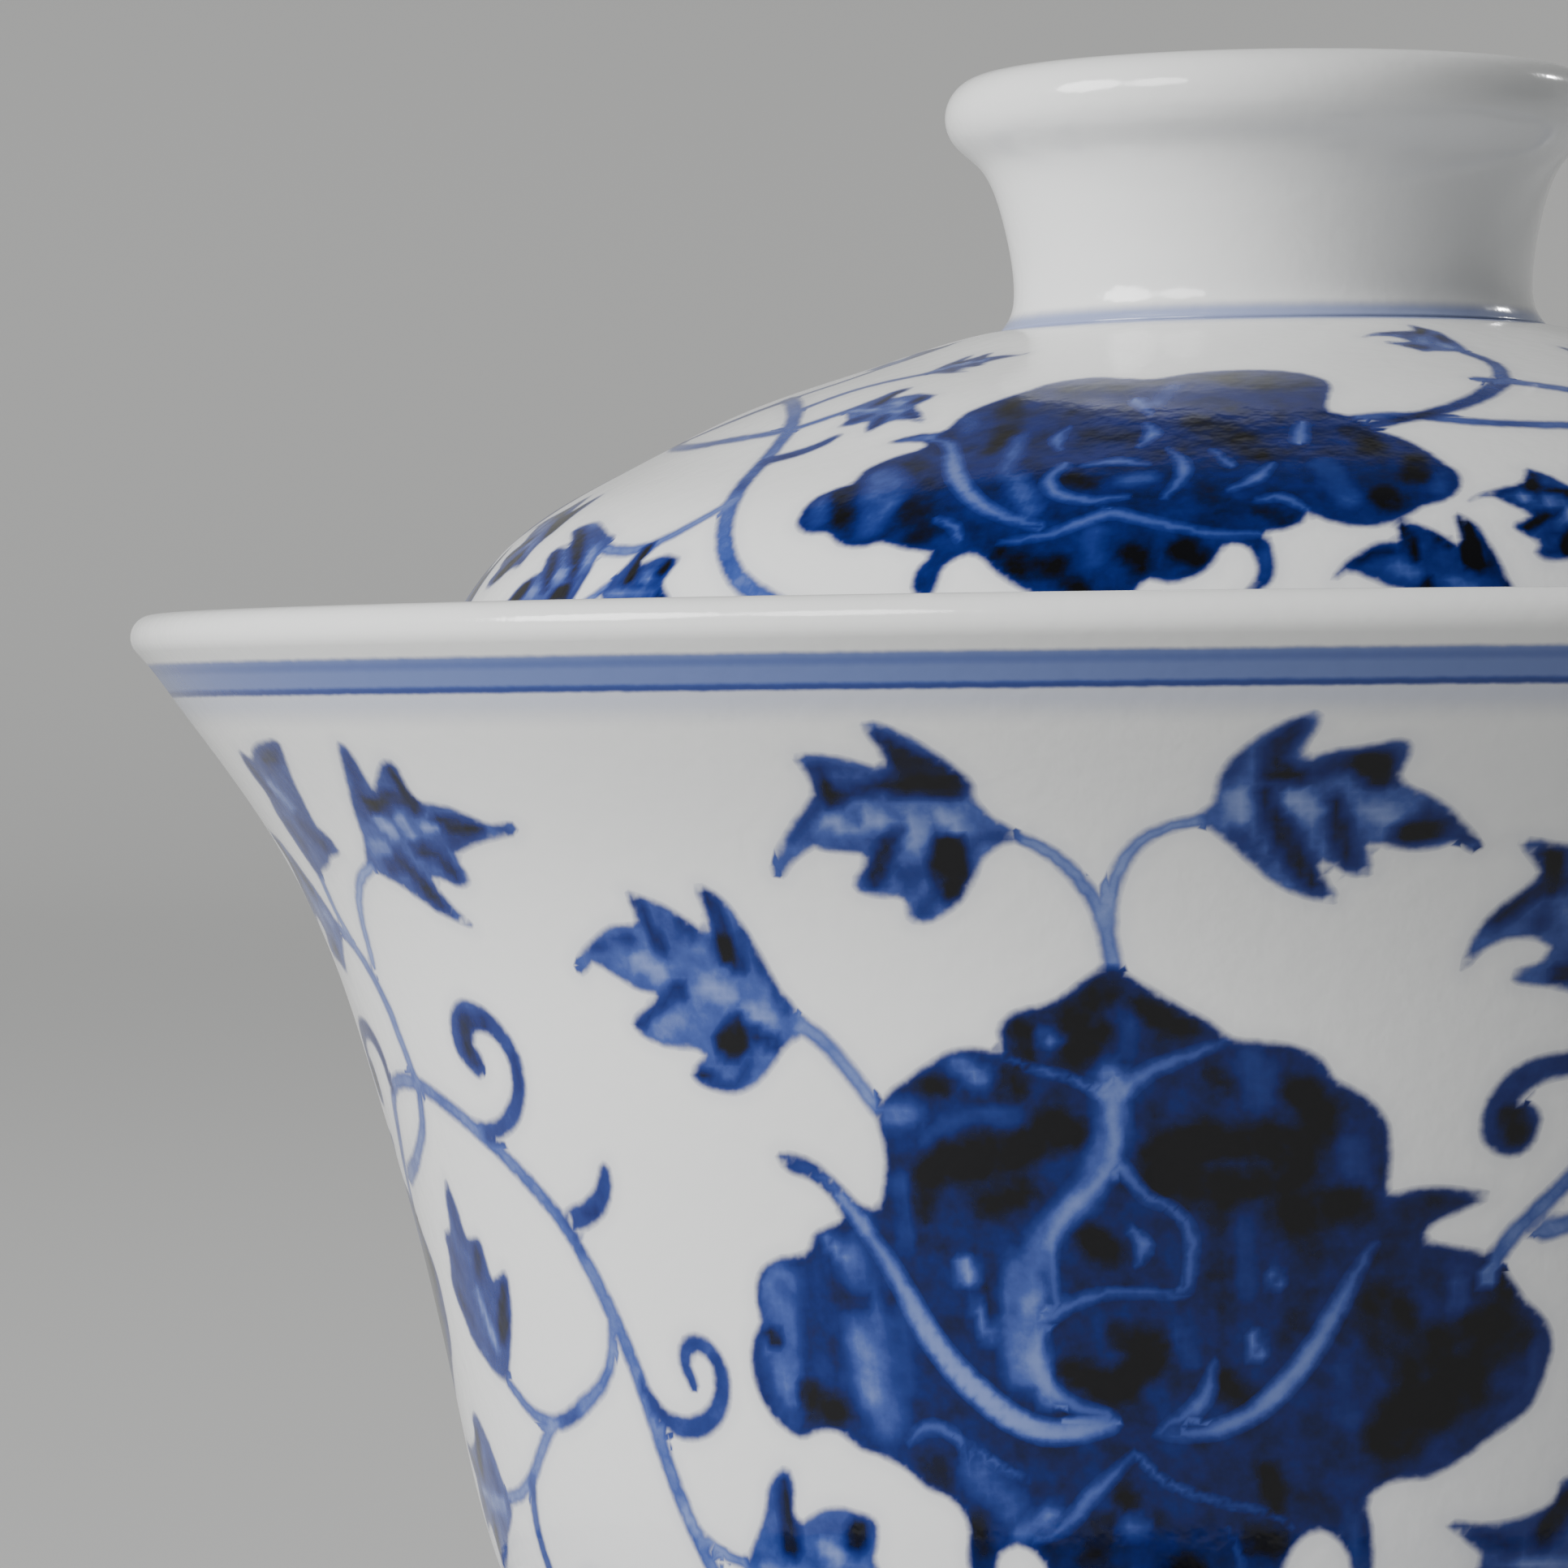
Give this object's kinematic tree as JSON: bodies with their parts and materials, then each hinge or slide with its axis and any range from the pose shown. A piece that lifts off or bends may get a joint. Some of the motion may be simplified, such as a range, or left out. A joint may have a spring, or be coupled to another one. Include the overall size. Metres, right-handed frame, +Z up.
{
  "type": "gaiwan",
  "caption": "Lidded tea bowl on a saucer: flared bell-shaped bowl, domed lid with a waisted ring knob, shallow saucer with a well, white porcelain painted in blue.",
  "frame": {"origin": "on the common axis, in the plane that the saucer's foot ring stands on", "axes": "+Z up along the axis that the saucer, bowl and lid share; the plain view of the main flower looks along +Y"},
  "size_m": [0.113, 0.113, 0.0844],
  "materials": {
    "painted_porcelain": "gloss",
    "plain_porcelain": "gloss"
  },
  "bodies": {
    "saucer": {"saucer": "painted_porcelain"},
    "bowl": {"bowl": "painted_porcelain"},
    "lid": {"lid_dome": "painted_porcelain", "lid_knob": "plain_porcelain"}
  },
  "joints": [
    {"name": "bowl_lift", "type": "slide", "parent": "saucer", "child": "bowl", "axis": [0, 0, 1], "range_m": [0, 0.06]},
    {"name": "lid_lift", "type": "slide", "parent": "bowl", "child": "lid", "axis": [0, 0, 1], "range_m": [0, 0.06]}
  ]
}
